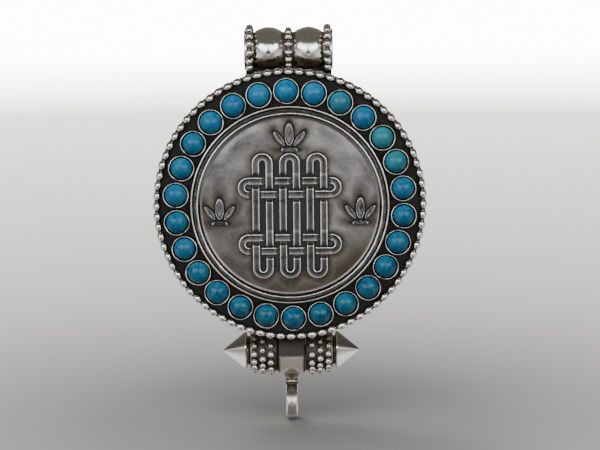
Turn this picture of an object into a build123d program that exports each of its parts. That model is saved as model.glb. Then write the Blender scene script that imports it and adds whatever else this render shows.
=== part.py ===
from build123d import *
import os
from math import atan2, cos, radians, sin, sqrt

# A round silver prayer box (ghau) worn as a pendant, about 38 mm across.
#
# The case is a shallow drum. Its front plate carries a ring of small turquoise
# cabochons in silver cups, a medallion with a woven knot in relief, and a beaded
# wire round the edge. A fluted bail on top takes the cord. Below, two granulated
# barrels hold a screw pin with pyramid finials, and a drop ring swings on the pin.
# The back cover is hinged at the top, behind the bail, and a rolled prayer paper
# lies in the case.
#
# Frame: origin at the middle of the bail's bore, +X to the wearer's left as seen
# from the front, +Y to the back, +Z up. Millimetres.

# ---- case ----
CASE_R = 18.0  # outside of the drum's wall
WALL = 0.8
CASE_Z = -21.6  # the drum's axis below the bail's
FRONT_Y = -4.2  # front face of the front plate
BACK_Y = 4.2  # rear end of the wall
FRONT_T = 0.7
FLANGE_R = 19.1  # the front plate stands out past the wall
EDGE_BREAK = 0.15

# ---- beaded wire round the front ----
RIM_WIRE_R = 18.7
RIM_BEADS = 80
RIM_BEAD_R = 0.54
RIM_CORE_R = 0.27
RIM_LIFT = 0.35  # bead centres in front of the plate

# ---- stones ----
STONES = 26
STONE_RING_R = 16.05
STONE_START = 8.2  # angle from +X to the first stone
STONE_R = 1.5
STONE_GIRDLE = 0.95  # straight side, above the cup's floor
STONE_TOP = 2.0  # crown above the plate
CUP_R = 1.85
CUP_WALL = 0.24
CUP_FLOOR = 0.25
CUP_HEIGHT = 1.2

# ---- medallion ----
BEZEL_R = 14.0
BEZEL_WALL = 0.4
BEZEL_HEIGHT = 1.1
MEDAL_R = BEZEL_R - BEZEL_WALL
RIDGE_R = 12.95
RIDGE_WIDTH = 0.25
RIDGE_HEIGHT = 1.65
FIELD_R = 12.4
FIELD_HEIGHT = 1.2
SHEET = 0.65  # thickness of the medallion's metal
RELIEF_HEIGHT = 0.5

# ---- the knot on the medallion: upright loops woven through level ones ----
KNOT_Z = -1.4  # middle of the knot below the middle of the medallion
STRAND = 1.05  # width of a strand
STRAND_PITCH = 1.9
UPRIGHT_LOOPS = 3
UPRIGHT_RUN = 14.8  # straight part of an upright loop
LEVEL_RISE = 4.0  # middle of a level loop above or below the knot's middle
GROOVE = 0.22  # cut where a strand dips under another
LOOP_OVERHANG = 0.3  # straight part of a level loop past the outermost upright strand
BUD_SPREAD = 36.0  # angle of a bud's outer leaves
TOP_BUD = (0.0, 8.75, 1.15)  # across, up, size
SIDE_BUD = (9.85, -1.6, 1.1)

# ---- bail ----
BAIL_HALF = 6.25
BAIL_BORE_R = 2.05
BAIL_VALLEY_R = 2.45
BAIL_CREST_R = 3.15
BAIL_LIP_R = 2.85
BAIL_LIP = 0.15
FLUTE_IN = 0.75
FLUTE_OUT = 4.8
SIDE_WIRE_X = 5.47
SIDE_WIRE_R = 2.95
SIDE_BEAD_R = 0.6
MIDDLE_WIRE_R = 2.6
MIDDLE_BEAD_R = 0.57
BAIL_BEADS = 15
BAIL_FOOT_X = 3.75
BAIL_FOOT = (4.6, 2.4)
CORE_SHARE = 0.55  # core wire of a beaded wire, as a share of its beads

# ---- clasp bar under the case ----
CLASP_Z = CASE_Z - 21.7
PIN_R = 0.8
PIN_GAP = 0.03  # running clearance round the pin
BARREL_IN = 2.1
BARREL_OUT = 5.95
BARREL_IN_R = 3.05  # the barrels taper towards the finials
BARREL_OUT_R = 2.6
GRANULE_R = 0.475
GRANULE_RISE = 0.23  # granule centres outside the barrel
GRANULE_ROWS = (2.95, 4.1, 5.3)
GRANULES_ROUND = 16
BARE_SECTOR = 45.0  # no granules this near the case, each side of straight up
BARREL_FOOT_Y = 2.6
BARREL_FOOT_X = (2.35, 5.7)
FINIAL_NECK_R = 2.1
FINIAL_NECK = 0.35
FINIAL_R = 2.75
FINIAL_LENGTH = 3.55
FINIAL_SLOPE = 0.86  # half diagonal gained for each millimetre from the tip
FINIAL_TIP = 0.12
LEFT_CORNER = 24.0  # how far each finial's front corner stands above the front
RIGHT_CORNER = 20.0
SOCKET_END = 8.15
PIN_END = 8.05
THREAD_PITCH = 0.4
THREAD_TURNS = 6
THREAD_DEPTH = 0.12
FREE_GAP = 0.06  # between pieces that turn beside each other

# ---- swinging drop ring ----
DROP_HALF = 1.95
DROP_R = 3.35
DROP_ROUND = 0.6
NECK_TOP_R = 1.3
NECK_R = 0.84
NECK_START = 3.1
NECK_END = 4.1
COLLAR_Z = 4.4
COLLAR_R = 0.22
RING_Z = 7.35
RING_R = 2.5
EYE_R = 1.45
RING_WIDTH = 1.7
RING_ROUND = 0.3

# ---- back cover and its hinge ----
COVER_R = 18.2
COVER_T = 0.6
COVER_GAP = 0.05
DOME_R = 16.4
DOME_RISE = 1.5
FLANGE_OUT = 17.08
SKIRT_T = 0.5
SKIRT_DEPTH = 1.5
HINGE_Z = CASE_Z + 19.1
HINGE_Y = BACK_Y + 0.25
HINGE_R = 0.75
HINGE_PIN_R = 0.35
HINGE_HALF = 5.0
HINGE_MIDDLE = 1.7
LIP = (5.0, 1.1)
LIP_T = 0.6

# ---- rolled prayer ----
SCROLL_R = 2.4
SCROLL_CORE_R = 0.5
SCROLL_LENGTH = 24.0
TIE_R = 0.3
REST_GAP = 0.01  # between the scroll and the metal that it lies on
SCROLL_Y = FRONT_Y + FRONT_T + SCROLL_R + TIE_R + REST_GAP
SCROLL_DROP = sqrt((CASE_R - WALL - REST_GAP) ** 2 - (SCROLL_LENGTH / 2) ** 2)
SCROLL_Z = CASE_Z - SCROLL_DROP + SCROLL_R
TIE_SPACING = 0.75

CASE_AXIS = Axis((0, 0, CASE_Z), (0, 1, 0))
CLASP_AXIS = Axis((0, 0, CLASP_Z), (1, 0, 0))
HINGE_AXIS = Axis((0, HINGE_Y, HINGE_Z), (1, 0, 0))
CASE_PLANE = Plane.XY.offset(CASE_Z)
CLASP_PLANE = Plane.XY.offset(CLASP_Z)


def facing_front(y):
    """A plane across the case at y, whose x is +X, y is +Z and normal is -Y."""
    return Plane(origin=(0, y, CASE_Z), x_dir=(1, 0, 0), z_dir=(0, -1, 0))


def across(x, y=0.0, z=0.0):
    """A plane across X, whose x is +Y, y is +Z and normal is +X."""
    return Plane(origin=(x, y, z), x_dir=(0, 1, 0), z_dir=(1, 0, 0))


def beaded_wire(plane, ring_radius, bead_radius, core_radius, count):
    """A ring of beads on a thin core wire, round the plane's normal."""
    with BuildPart(plane) as wire:
        Torus(ring_radius, core_radius)
        with PolarLocations(ring_radius, count):
            Sphere(bead_radius)
    return wire.part


def case_drum(radius):
    """A long solid drum of that radius on the case's axis, to cut other pieces with."""
    with BuildPart() as drum:
        with BuildSketch(facing_front(2 * BACK_Y)):
            Circle(radius)
        extrude(amount=4 * BACK_Y)
    return drum.part


def make_front_shell():
    with BuildPart() as front_shell:
        with BuildSketch(facing_front(BACK_Y)):
            Circle(CASE_R)
            Circle(CASE_R - WALL, mode=Mode.SUBTRACT)
        extrude(amount=BACK_Y - FRONT_Y - FRONT_T)
        with BuildSketch(facing_front(FRONT_Y + FRONT_T)):
            Circle(FLANGE_R)
        extrude(amount=FRONT_T)
        plate_edges = front_shell.edges().filter_by(GeomType.CIRCLE)
        chamfer(plate_edges.filter_by(lambda e: e.radius > CASE_R + EDGE_BREAK), EDGE_BREAK)
    return front_shell


def make_rim_wire():
    with BuildPart() as rim_wire:
        add(beaded_wire(facing_front(FRONT_Y - RIM_LIFT), RIM_WIRE_R, RIM_BEAD_R, RIM_CORE_R, RIM_BEADS))
        split(bisect_by=facing_front(FRONT_Y), keep=Keep.TOP)
    return rim_wire


def make_stone_cups():
    with BuildPart() as stone_cups:
        with BuildSketch(facing_front(FRONT_Y)):
            with PolarLocations(STONE_RING_R, STONES, STONE_START):
                Circle(CUP_R)
        extrude(amount=CUP_HEIGHT)
        with BuildSketch(facing_front(FRONT_Y - CUP_FLOOR)):
            with PolarLocations(STONE_RING_R, STONES, STONE_START):
                Circle(CUP_R - CUP_WALL)
        extrude(amount=CUP_HEIGHT, mode=Mode.SUBTRACT)
    return stone_cups


def make_cabochons():
    with BuildPart() as cabochon:
        with BuildSketch(Plane.XZ):
            with BuildLine():
                Polyline(
                    (0, STONE_TOP),
                    (0, CUP_FLOOR),
                    (STONE_R, CUP_FLOOR),
                    (STONE_R, STONE_GIRDLE),
                )
                dome_height = STONE_TOP - STONE_GIRDLE
                dome_r = (STONE_R**2 + dome_height**2) / (2 * dome_height)
                half = atan2(STONE_R, dome_r - dome_height) / 2
                middle = (dome_r * sin(half), STONE_TOP - dome_r + dome_r * cos(half))
                ThreePointArc((STONE_R, STONE_GIRDLE), middle, (0, STONE_TOP))
            make_face()
        revolve(axis=Axis.Z)
    with BuildPart(facing_front(FRONT_Y)) as cabochons:
        with PolarLocations(STONE_RING_R, STONES, STONE_START):
            add(cabochon.part)
    return cabochons


def make_bezel():
    with BuildPart() as bezel:
        with BuildSketch(facing_front(FRONT_Y)):
            Circle(BEZEL_R)
            Circle(MEDAL_R, mode=Mode.SUBTRACT)
        extrude(amount=BEZEL_HEIGHT)
        chamfer(bezel.edges().group_by(Axis.Y)[0], EDGE_BREAK)
    return bezel


def bud(x, z, size):
    """A bud of three leaves on a short bar, drawn in the open sketch."""
    with Locations((x, z + 1.15 * size)):
        Ellipse(0.62 * size, 1.5 * size)
    for side in (-1, 1):
        with Locations((x + side * 1.25 * size, z + 0.62 * size)):
            Ellipse(0.42 * size, 1.15 * size, rotation=-side * BUD_SPREAD)
    with Locations((x, z - 0.75 * size)):
        Rectangle(2.2 * size, 0.55 * size)


def knot():
    """Upright and level loops of one strand, with grooves where one dips under another."""
    columns = [(i - (UPRIGHT_LOOPS - 1) / 2) * 2 * STRAND_PITCH for i in range(UPRIGHT_LOOPS)]
    rows = [KNOT_Z - LEVEL_RISE, KNOT_Z + LEVEL_RISE]
    for x in columns:
        loop(x, KNOT_Z, UPRIGHT_RUN, 90)
    level_run = columns[-1] - columns[0] + STRAND_PITCH + STRAND + 2 * LOOP_OVERHANG
    for z in rows:
        loop(0, z, level_run, 0)
    strands_x = [x + side * STRAND_PITCH / 2 for x in columns for side in (-1, 1)]
    strands_z = [z + side * STRAND_PITCH / 2 for z in rows for side in (-1, 1)]
    step = (STRAND + GROOVE) / 2
    for i, x in enumerate(strands_x):
        for j, z in enumerate(strands_z):
            for side in (-step, step):
                if (i + j) % 2:
                    with Locations((x, z + side)):
                        Rectangle(STRAND, GROOVE, mode=Mode.SUBTRACT)
                else:
                    with Locations((x + side, z)):
                        Rectangle(GROOVE, STRAND, mode=Mode.SUBTRACT)


def loop(x, z, run, turn):
    """One long loop of strand round (x, z), with round ends."""
    with BuildSketch(mode=Mode.PRIVATE) as ring:
        SlotCenterToCenter(run, STRAND_PITCH + STRAND, rotation=turn)
        SlotCenterToCenter(run, STRAND_PITCH - STRAND, rotation=turn, mode=Mode.SUBTRACT)
    with Locations((x, z)):
        add(ring.sketch)


def make_medallion():
    with BuildPart() as medallion:
        with BuildSketch(CASE_PLANE):
            with BuildLine():
                Polyline(
                    (0, FRONT_Y - FIELD_HEIGHT),
                    (FIELD_R, FRONT_Y - FIELD_HEIGHT),
                    (RIDGE_R - RIDGE_WIDTH / 2, FRONT_Y - RIDGE_HEIGHT),
                    (RIDGE_R + RIDGE_WIDTH / 2, FRONT_Y - RIDGE_HEIGHT),
                    (MEDAL_R, FRONT_Y - BEZEL_HEIGHT + EDGE_BREAK),
                    (MEDAL_R, FRONT_Y),
                    (RIDGE_R, FRONT_Y),
                    (RIDGE_R, FRONT_Y - FIELD_HEIGHT + SHEET),
                    (0, FRONT_Y - FIELD_HEIGHT + SHEET),
                    close=True,
                )
            make_face()
        revolve(axis=CASE_AXIS)
        with BuildSketch(facing_front(FRONT_Y - FIELD_HEIGHT)):
            knot()
            bud(*TOP_BUD)
            for side in (-1, 1):
                bud(side * SIDE_BUD[0], *SIDE_BUD[1:])
        extrude(amount=RELIEF_HEIGHT)
    return medallion


def bail_band():
    """The fluted tube of the bail, with a plain bore."""
    crest = (FLUTE_IN + FLUTE_OUT) / 2
    with BuildPart() as band:
        with BuildSketch(Plane.XY):
            with BuildLine():
                Polyline(
                    (-FLUTE_OUT, BAIL_VALLEY_R),
                    (BAIL_LIP - BAIL_HALF, BAIL_VALLEY_R),
                    (BAIL_LIP - BAIL_HALF, BAIL_LIP_R),
                    (-BAIL_HALF, BAIL_LIP_R),
                    (-BAIL_HALF, BAIL_BORE_R),
                    (BAIL_HALF, BAIL_BORE_R),
                    (BAIL_HALF, BAIL_LIP_R),
                    (BAIL_HALF - BAIL_LIP, BAIL_LIP_R),
                    (BAIL_HALF - BAIL_LIP, BAIL_VALLEY_R),
                    (FLUTE_OUT, BAIL_VALLEY_R),
                )
                for near, far in ((FLUTE_OUT, FLUTE_IN), (-FLUTE_IN, -FLUTE_OUT)):
                    top = (crest if near > 0 else -crest, BAIL_CREST_R)
                    ThreePointArc((near, BAIL_VALLEY_R), top, (far, BAIL_VALLEY_R))
                Line((FLUTE_IN, BAIL_VALLEY_R), (-FLUTE_IN, BAIL_VALLEY_R))
            make_face()
        revolve(axis=Axis.X)
    return band


def bail_wire(x, ring_radius, bead_radius):
    """One beaded wire round the bail, seated on the band."""
    with BuildPart() as wire:
        add(beaded_wire(across(x), ring_radius, bead_radius, CORE_SHARE * bead_radius, BAIL_BEADS))
        with BuildSketch(across(-BAIL_HALF)):
            Circle(BAIL_VALLEY_R)
        extrude(amount=2 * BAIL_HALF, mode=Mode.SUBTRACT)
    return wire


def make_bail_feet(band):
    """Two pads that join the bail to the wall of the case and pass under its side wires."""
    wire_end = SIDE_WIRE_X - SIDE_BEAD_R - PIN_GAP
    with BuildPart() as feet:
        with Locations((-BAIL_FOOT_X, 0, 0), (BAIL_FOOT_X, 0, 0)):
            Box(*BAIL_FOOT, 3 * BAIL_CREST_R, align=(Align.CENTER, Align.CENTER, Align.MAX))
        add(case_drum(CASE_R), mode=Mode.SUBTRACT)
        add(band.part, mode=Mode.SUBTRACT)
        with BuildSketch(across(-BAIL_HALF)):
            Circle(BAIL_VALLEY_R)
        extrude(amount=2 * BAIL_HALF, mode=Mode.SUBTRACT)
        with BuildSketch(across(-BAIL_HALF), across(wire_end)):
            Circle(SIDE_WIRE_R + SIDE_BEAD_R + PIN_GAP)
        extrude(amount=BAIL_HALF - wire_end, mode=Mode.SUBTRACT)
    return feet


def barrel_core(side):
    """The solid taper of one barrel, on the left (-1) or the right (1)."""
    with BuildPart() as core:
        with BuildSketch(CLASP_PLANE):
            with BuildLine():
                Polyline(
                    (side * BARREL_IN, 0),
                    (side * BARREL_IN, BARREL_IN_R - EDGE_BREAK),
                    (side * (BARREL_IN + EDGE_BREAK), BARREL_IN_R),
                    (side * (BARREL_OUT - EDGE_BREAK), BARREL_OUT_R),
                    (side * BARREL_OUT, BARREL_OUT_R - EDGE_BREAK),
                    (side * BARREL_OUT, 0),
                    close=True,
                )
            make_face()
        revolve(axis=CLASP_AXIS)
    return core.part


def make_barrel(side):
    """One barrel of the clasp, bored for the pin."""
    with BuildPart() as barrel:
        add(barrel_core(side))
        with BuildSketch(across(side * BARREL_IN, 0, CLASP_Z)):
            Circle(PIN_R + PIN_GAP)
        extrude(amount=side * (BARREL_OUT - BARREL_IN), mode=Mode.SUBTRACT)
    return barrel


def make_barrel_foot(side):
    """The pad that joins a barrel to the wall of the case."""
    near, far = BARREL_FOOT_X
    with BuildPart() as foot:
        with Locations((side * (near + far) / 2, 0, CLASP_Z)):
            Box(far - near, BARREL_FOOT_Y, CASE_R / 2, align=(Align.CENTER, Align.CENTER, Align.MIN))
        add(case_drum(CASE_R), mode=Mode.SUBTRACT)
        add(barrel_core(side), mode=Mode.SUBTRACT)
    return foot


def make_granules(side):
    """Three staggered rows of granules, bare where the barrel meets the case."""
    step = 360 / GRANULES_ROUND
    taper = (BARREL_IN_R - BARREL_OUT_R) / (BARREL_OUT - BARREL_IN)
    with BuildPart() as granules:
        for row, x in enumerate(GRANULE_ROWS):
            ring_r = BARREL_IN_R - taper * (x - BARREL_IN) + GRANULE_RISE
            for n in range(GRANULES_ROUND):
                turn = (n + 0.5 * (row % 2)) * step
                if min(turn, 360 - turn) < BARE_SECTOR:
                    continue
                outward = Vector(0, sin(radians(turn)), cos(radians(turn)))
                middle = Vector(side * x, 0, CLASP_Z) + outward * ring_r
                with Locations(Plane(origin=middle, x_dir=(1, 0, 0), z_dir=outward)):
                    Sphere(GRANULE_R)
        add(barrel_core(side), mode=Mode.SUBTRACT)
    return granules


def make_finial(side, start, corner):
    """A square pyramid cut from a round bar, a corner near the front, on a short neck."""
    base = start + FINIAL_NECK
    spread = sqrt(2) * FINIAL_SLOPE * FINIAL_LENGTH
    with BuildPart() as finial:
        with BuildSketch(across(side * base, 0, CLASP_Z)):
            Rectangle(spread, spread, rotation=45 - corner)
        with BuildSketch(across(side * (base + FINIAL_LENGTH), 0, CLASP_Z)):
            Rectangle(FINIAL_TIP, FINIAL_TIP, rotation=45 - corner)
        loft()
        with BuildSketch(across(side * base, 0, CLASP_Z)):
            Circle(FINIAL_R)
        extrude(amount=side * FINIAL_LENGTH, mode=Mode.INTERSECT)
        with BuildSketch(across(side * base, 0, CLASP_Z)):
            Circle(FINIAL_NECK_R)
        extrude(amount=-side * FINIAL_NECK)
        with BuildSketch(across(side * start, 0, CLASP_Z)):
            Circle(PIN_R + PIN_GAP)
        extrude(amount=side * (SOCKET_END - start), mode=Mode.SUBTRACT)
    return finial


def make_pin():
    """The screw pin, with its thread as rings of the thread's pitch at the right end."""
    first = PIN_END - THREAD_TURNS * THREAD_PITCH
    outline = [(-PIN_END, 0), (-PIN_END, PIN_R)]
    for turn in range(THREAD_TURNS):
        crest = first + turn * THREAD_PITCH
        outline.append((crest, PIN_R))
        outline.append((crest + THREAD_PITCH / 2, PIN_R - THREAD_DEPTH))
    outline += [(PIN_END, PIN_R), (PIN_END, 0)]
    with BuildPart() as pin:
        with BuildSketch(CLASP_PLANE):
            with BuildLine():
                Polyline(*outline, close=True)
            make_face()
        revolve(axis=CLASP_AXIS)
    return pin


def make_drop_barrel():
    """The smooth barrel that swings on the pin, with the neck of its ring."""
    neck_bend = (
        NECK_R + 0.3 * (NECK_TOP_R - NECK_R),
        CLASP_Z - NECK_START - 0.6 * (NECK_END - NECK_START),
    )
    ring_top = CLASP_Z - RING_Z + RING_R
    with BuildPart() as drop_barrel:
        with BuildSketch(across(-DROP_HALF, 0, CLASP_Z)):
            Circle(DROP_R)
        extrude(amount=2 * DROP_HALF)
        fillet(drop_barrel.edges().filter_by(GeomType.CIRCLE), DROP_ROUND)
        with BuildSketch(Plane.XZ):
            with BuildLine():
                Polyline(
                    (NECK_R, CLASP_Z - NECK_END),
                    (NECK_R, ring_top - RING_ROUND),
                    (0, ring_top - RING_ROUND),
                    (0, CLASP_Z - NECK_START),
                    (NECK_TOP_R, CLASP_Z - NECK_START),
                )
                ThreePointArc((NECK_TOP_R, CLASP_Z - NECK_START), neck_bend, (NECK_R, CLASP_Z - NECK_END))
            make_face()
        revolve(axis=Axis.Z)
        with BuildSketch(across(-DROP_HALF, 0, CLASP_Z)):
            Circle(PIN_R + PIN_GAP)
        extrude(amount=2 * DROP_HALF, mode=Mode.SUBTRACT)
        with BuildSketch(across(-DROP_HALF, 0, CLASP_Z - RING_Z)):
            Circle(RING_R)
        extrude(amount=2 * DROP_HALF, mode=Mode.SUBTRACT)
    return drop_barrel


def make_drop_collar():
    with BuildPart(Plane.XY.offset(CLASP_Z - COLLAR_Z)) as collar:
        Torus(NECK_R, COLLAR_R)
        Cylinder(NECK_R, 4 * COLLAR_R, mode=Mode.SUBTRACT)
    return collar


def make_drop_ring():
    with BuildPart() as ring:
        with BuildSketch(across(-RING_WIDTH / 2, 0, CLASP_Z - RING_Z)):
            Circle(RING_R)
            Circle(EYE_R, mode=Mode.SUBTRACT)
        extrude(amount=RING_WIDTH)
        rims = ring.edges().filter_by(GeomType.CIRCLE)
        fillet(rims.filter_by(lambda e: e.radius > EYE_R + EDGE_BREAK), RING_ROUND)
        rims = ring.edges().filter_by(GeomType.CIRCLE)
        chamfer(rims.filter_by(lambda e: abs(e.radius - EYE_R) < 0.01), EDGE_BREAK)
    return ring


def make_back_cover():
    """A domed sheet with a flat margin that closes the drum."""
    inside = BACK_Y + COVER_GAP
    margin = inside + COVER_T
    with BuildPart() as cover:
        with BuildSketch(CASE_PLANE):
            with BuildLine():
                Line((0, margin + DOME_RISE), (0, inside + DOME_RISE))
                dome_arc(inside)
                Polyline(
                    (DOME_R, inside),
                    (COVER_R, inside),
                    (COVER_R, margin - EDGE_BREAK),
                    (COVER_R - EDGE_BREAK, margin),
                    (DOME_R, margin),
                )
                dome_arc(margin)
            make_face()
        revolve(axis=CASE_AXIS)
    return cover


def dome_arc(margin):
    """The dome's section, from its crown on the axis to the flat margin."""
    dome_sphere = (DOME_R**2 + DOME_RISE**2) / (2 * DOME_RISE)
    half = atan2(DOME_R, dome_sphere - DOME_RISE) / 2
    middle = (dome_sphere * sin(half), margin + DOME_RISE - dome_sphere * (1 - cos(half)))
    ThreePointArc((0, margin + DOME_RISE), middle, (DOME_R, margin))


def make_cover_skirt():
    """The ring under the cover that grips the inside of the wall."""
    with BuildPart() as skirt:
        with BuildSketch(facing_front(BACK_Y + COVER_GAP)):
            Circle(FLANGE_OUT)
            Circle(FLANGE_OUT - SKIRT_T, mode=Mode.SUBTRACT)
        extrude(amount=SKIRT_DEPTH)
    return skirt


def make_thumb_lip():
    """A tab below the cover's edge for a thumbnail."""
    margin = BACK_Y + COVER_GAP + COVER_T
    with BuildPart() as lip:
        with BuildSketch(facing_front(margin)):
            with Locations((0, -COVER_R)):
                SlotOverall(LIP[0], 2 * LIP[1])
            Circle(COVER_R, mode=Mode.SUBTRACT)
        extrude(amount=LIP_T)
    return lip


def hinge_leaf(start, end, y_low, y_high, drum_r, bore_r):
    """A knuckle of the back hinge with the tab that joins it to the metal under it."""
    with BuildPart() as leaf:
        with BuildSketch(across(start, HINGE_Y, HINGE_Z)):
            Circle(HINGE_R)
        extrude(amount=end - start)
        with Locations(((start + end) / 2, (y_low + y_high) / 2, HINGE_Z)):
            Box(end - start, y_high - y_low, CASE_R / 6, align=(Align.CENTER, Align.CENTER, Align.MAX))
        add(case_drum(drum_r), mode=Mode.SUBTRACT)
        with BuildSketch(across(start, HINGE_Y, HINGE_Z)):
            Circle(bore_r)
        extrude(amount=end - start, mode=Mode.SUBTRACT)
    return leaf


def make_case_hinge():
    tab = (HINGE_Y - HINGE_R, BACK_Y)
    with BuildPart() as case_hinge:
        add(hinge_leaf(-HINGE_HALF, -HINGE_MIDDLE - FREE_GAP, *tab, CASE_R, HINGE_PIN_R).part)
        add(hinge_leaf(HINGE_MIDDLE + FREE_GAP, HINGE_HALF, *tab, CASE_R, HINGE_PIN_R).part)
    return case_hinge


def make_cover_hinge():
    inside = BACK_Y + COVER_GAP
    bore_r = HINGE_PIN_R + PIN_GAP
    return hinge_leaf(-HINGE_MIDDLE, HINGE_MIDDLE, inside, inside + COVER_T, COVER_R, bore_r)


def make_hinge_pin():
    with BuildPart() as pin:
        with BuildSketch(across(-HINGE_HALF, HINGE_Y, HINGE_Z)):
            Circle(HINGE_PIN_R)
        extrude(amount=2 * HINGE_HALF)
    return pin


def make_scroll():
    with BuildPart() as scroll:
        with BuildSketch(across(-SCROLL_LENGTH / 2, SCROLL_Y, SCROLL_Z)):
            Circle(SCROLL_R)
            Circle(SCROLL_CORE_R, mode=Mode.SUBTRACT)
        extrude(amount=SCROLL_LENGTH)
    return scroll


def make_scroll_tie():
    with BuildPart() as tie:
        for side in (-1, 1):
            with Locations(across(side * TIE_SPACING / 2, SCROLL_Y, SCROLL_Z)):
                Torus(SCROLL_R, TIE_R)
        with BuildSketch(across(-SCROLL_LENGTH / 2, SCROLL_Y, SCROLL_Z)):
            Circle(SCROLL_R)
        extrude(amount=SCROLL_LENGTH, mode=Mode.SUBTRACT)
    return tie


def main():
    os.makedirs("parts", exist_ok=True)
    band = bail_band()
    pieces = {
        "front_shell": make_front_shell(),
        "rim_bead_wire": make_rim_wire(),
        "stone_cups": make_stone_cups(),
        "turquoise_cabochons": make_cabochons(),
        "medallion_bezel": make_bezel(),
        "medallion_plate": make_medallion(),
        "bail_band": band,
        "bail_left_bead_wire": bail_wire(-SIDE_WIRE_X, SIDE_WIRE_R, SIDE_BEAD_R),
        "bail_middle_bead_wire": bail_wire(0, MIDDLE_WIRE_R, MIDDLE_BEAD_R),
        "bail_right_bead_wire": bail_wire(SIDE_WIRE_X, SIDE_WIRE_R, SIDE_BEAD_R),
        "bail_feet": make_bail_feet(band),
        "right_finial": make_finial(1, BARREL_OUT, RIGHT_CORNER),
        "left_finial": make_finial(-1, BARREL_OUT + FREE_GAP, LEFT_CORNER),
        "clasp_pin": make_pin(),
        "drop_barrel": make_drop_barrel(),
        "drop_collar": make_drop_collar(),
        "drop_ring": make_drop_ring(),
        "back_cover": make_back_cover(),
        "cover_skirt": make_cover_skirt(),
        "cover_thumb_lip": make_thumb_lip(),
        "case_hinge_knuckles": make_case_hinge(),
        "cover_hinge_knuckle": make_cover_hinge(),
        "hinge_pin": make_hinge_pin(),
        "prayer_scroll": make_scroll(),
        "scroll_tie": make_scroll_tie(),
    }
    for name, side in (("left", -1), ("right", 1)):
        pieces[f"{name}_barrel"] = make_barrel(side)
        pieces[f"{name}_barrel_foot"] = make_barrel_foot(side)
        pieces[f"{name}_barrel_granules"] = make_granules(side)
    for name, piece in pieces.items():
        piece.part.label = name
        export_step(piece.part, f"parts/{name}.step")


main()
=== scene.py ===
"""A silver prayer box pendant with a ring of turquoise, dressed for rendering around its CAD frame."""

import random
from math import cos, exp, pi, radians, sin, sqrt, tau

import bpy
import numpy as np
from mathutils import Euler, Matrix, Vector


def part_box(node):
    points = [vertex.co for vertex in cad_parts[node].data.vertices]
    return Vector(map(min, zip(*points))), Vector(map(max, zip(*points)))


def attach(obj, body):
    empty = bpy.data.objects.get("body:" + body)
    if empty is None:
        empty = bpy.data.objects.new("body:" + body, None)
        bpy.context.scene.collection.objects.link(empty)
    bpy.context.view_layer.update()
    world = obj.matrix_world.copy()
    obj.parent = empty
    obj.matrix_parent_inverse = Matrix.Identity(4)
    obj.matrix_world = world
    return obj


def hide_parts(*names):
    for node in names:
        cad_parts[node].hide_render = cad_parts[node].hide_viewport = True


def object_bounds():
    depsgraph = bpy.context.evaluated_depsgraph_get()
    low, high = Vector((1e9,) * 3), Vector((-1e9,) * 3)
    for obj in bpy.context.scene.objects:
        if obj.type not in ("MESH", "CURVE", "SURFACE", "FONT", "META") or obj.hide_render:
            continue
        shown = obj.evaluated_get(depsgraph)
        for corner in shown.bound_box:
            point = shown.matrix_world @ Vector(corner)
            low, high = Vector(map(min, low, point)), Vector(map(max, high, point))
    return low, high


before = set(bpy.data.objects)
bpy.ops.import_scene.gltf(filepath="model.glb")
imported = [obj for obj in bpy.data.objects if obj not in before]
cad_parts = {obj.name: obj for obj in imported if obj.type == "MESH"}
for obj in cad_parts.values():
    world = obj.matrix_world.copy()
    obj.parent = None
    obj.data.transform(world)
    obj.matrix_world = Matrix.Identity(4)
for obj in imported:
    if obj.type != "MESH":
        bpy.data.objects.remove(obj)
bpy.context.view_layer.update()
MM = 0.001
RANDOM = random.Random(11)

# ---- places, from the frame ----


def middle(node):
    low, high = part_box(node)
    return (low + high) / 2


PLATE_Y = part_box("stone_cups")[1].y  # front face of the front plate
CASE_Z = middle("front_shell").z
BAR = np.array(middle("clasp_pin")) * (0, 1, 1)  # middle of the clasp bar
BAIL = middle("bail_band")
SCROLL = middle("prayer_scroll")

# ---- sizes shared with the CAD, in millimetres ----
STONES = 26
STONE_RING_R = 16.05
STONE_START = 8.2  # degrees
STONE_R = 1.5
STONE_GIRDLE = 0.95
STONE_TOP = 2.0
CUP_FLOOR = 0.25
CUP_HEIGHT = 1.2
RIM_WIRE_R = 18.7
RIM_BEADS = 80
BAIL_BEADS = 15
FIELD_R = 12.4
FIELD_HEIGHT = 1.2
RELIEF_TOP = 0.5  # above the field
KNOT_Z = -1.4
STRAND = 1.05
STRAND_PITCH = 1.9
UPRIGHT_LOOPS = 3
UPRIGHT_RUN = 14.8
LEVEL_RISE = 4.0
BUDS = ((0.0, 8.75, 1.15), (-9.85, -1.6, 1.1), (9.85, -1.6, 1.1))  # across, up, size
LOOP_OVERHANG = 0.52
GRANULE_ROWS = (2.95, 4.1, 5.3)
GRANULES_ROUND = 16
BARE_SECTOR = 45.0  # degrees each way from the top
BARREL_IN, BARREL_OUT = 2.1, 5.95
BARREL_IN_R, BARREL_OUT_R = 3.05, 2.6
FINIAL_R = 2.75
FINIAL_SLOPE = 0.86
FINIAL_CORNERS = {"left_finial": 24.0, "right_finial": 20.0}  # degrees from the top
PIN_R = 0.83  # with its play


# ---- mesh helpers ----


def outward(verts, faces):
    """Turns the faces of a closed shell so that they look out of it."""
    verts = np.asarray(verts, float) - np.mean(verts, axis=0)
    volume = 0.0
    for corners in {len(face) for face in faces}:
        ring = verts[np.array([face for face in faces if len(face) == corners])]
        for k in range(1, corners - 1):
            volume += np.einsum("ij,ij", ring[:, 0], np.cross(ring[:, k], ring[:, k + 1]))
    return faces if volume >= 0 else [tuple(face[::-1]) for face in faces]


def new_object(name, data):
    """An object in the scene."""
    made = bpy.data.objects.new(name, data)
    bpy.context.scene.collection.objects.link(made)
    return made


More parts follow.
